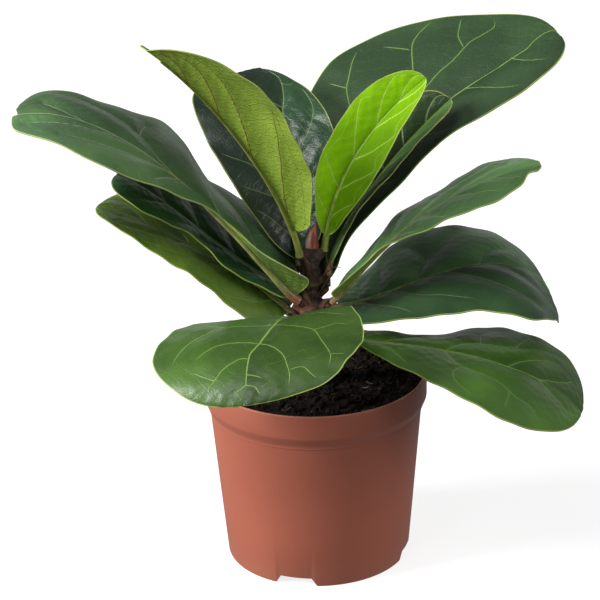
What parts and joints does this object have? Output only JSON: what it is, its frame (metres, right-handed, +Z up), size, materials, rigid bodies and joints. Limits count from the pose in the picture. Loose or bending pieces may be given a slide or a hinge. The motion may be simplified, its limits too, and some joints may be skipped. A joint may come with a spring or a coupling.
{
  "type": "potted fiddle leaf fig",
  "caption": "Young fiddle leaf fig with broad wavy leaves on a short woody stem, standing in soil in a round plastic nursery pot.",
  "frame": {"origin": "middle of the pot's flat base, on the surface that it stands on", "axes": "+Z up along the pot's axis, -Y towards the front of the plant as pictured, +X to its right"},
  "size_m": [0.2935, 0.2266, 0.3099],
  "materials": {
    "pot": "satin terracotta-coloured plastic",
    "soil": "dark moist potting mix, fine lumps",
    "stem_bark": "rough dark bark with dry sheath remains",
    "bud_sheath": "dry red-brown sheath",
    "leaf_green": "glossy mid green, light veins",
    "leaf_dark": "glossy dark green, light veins",
    "leaf_light": "satin lighter green, light veins",
    "leaf_lime": "young lime green",
    "leaf_olive": "pale yellow-green underside, brownish veins"
  },
  "bodies": {
    "root": {"pot": "pot", "soil": "soil", "stem": "stem_bark", "bud_sheath": "bud_sheath", "leaf_01_front_right_low": "leaf_green", "leaf_02_left_low": "leaf_light", "leaf_03_front": "leaf_green", "leaf_04_right_low": "leaf_dark", "leaf_05_right_middle": "leaf_green", "leaf_06_left_middle": "leaf_green", "leaf_07_left_back": "leaf_dark", "leaf_08_right_top": "leaf_dark", "leaf_09_right_inner": "leaf_dark", "leaf_10_back": "leaf_dark", "leaf_11_young": "leaf_lime", "leaf_12_left_top": "leaf_olive"}
  },
  "joints": []
}
